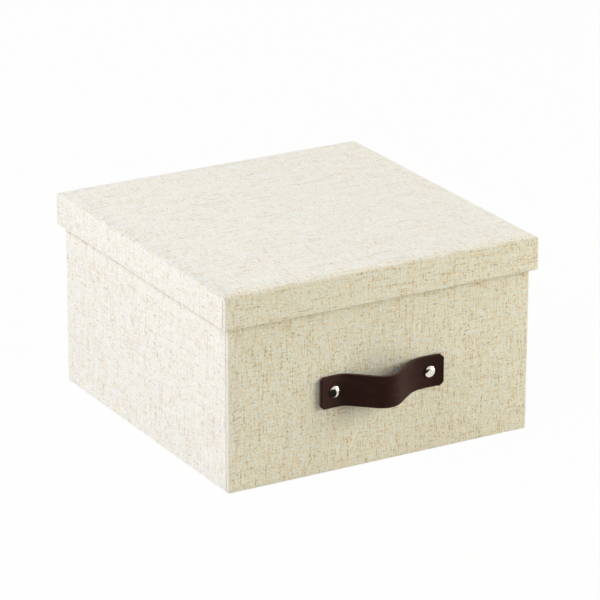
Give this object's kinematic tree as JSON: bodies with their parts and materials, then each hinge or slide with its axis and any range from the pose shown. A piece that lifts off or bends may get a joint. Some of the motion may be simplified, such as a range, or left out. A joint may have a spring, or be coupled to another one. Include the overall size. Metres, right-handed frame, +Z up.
{
  "type": "photo storage box",
  "caption": "Square linen-covered board box with a lift-off lid, a partition inside and a riveted leather pull on its front, for storing rows of prints.",
  "frame": {"origin": "middle of the tray's base, on the surface that the box stands on", "axes": "+Z up, the front with the leather pull faces -Y, +X to the right seen from the front"},
  "size_m": [0.3274, 0.3528, 0.1912],
  "materials": {
    "linen": "paper-backed book linen, matt, with slubs along both threads",
    "board": "solid grey board, matt",
    "partition_board": "solid board, pale paper face, matt",
    "corner_tape": "gummed kraft paper tape, matt",
    "lining_paper": "uncoated lining paper, matt",
    "base_paper": "uncoated paper, matt",
    "leather": "dark brown vegetable-tanned leather, low sheen, burnished edges",
    "nickel": "polished nickel plate"
  },
  "bodies": {
    "box": {"body_floor_board": "board", "body_front_board": "board", "body_back_board": "board", "body_left_board": "board", "body_right_board": "board", "body_corner_stays": "corner_tape", "body_side_cover": "linen", "body_base_sheet": "base_paper", "body_wall_lining": "lining_paper", "body_floor_lining": "lining_paper", "partition": "partition_board", "handle_strap": "leather", "handle_rivets": "nickel", "rivet_backs": "nickel"},
    "lid": {"lid_top_board": "board", "lid_front_board": "board", "lid_back_board": "board", "lid_left_board": "board", "lid_right_board": "board", "lid_corner_stays": "corner_tape", "lid_cover": "linen", "lid_skirt_lining": "lining_paper", "lid_top_lining": "lining_paper"}
  },
  "joints": [
    {"name": "lid_lift", "type": "slide", "parent": "box", "child": "lid", "axis": [0, 0, 1], "range_m": [0, 0.2]}
  ]
}
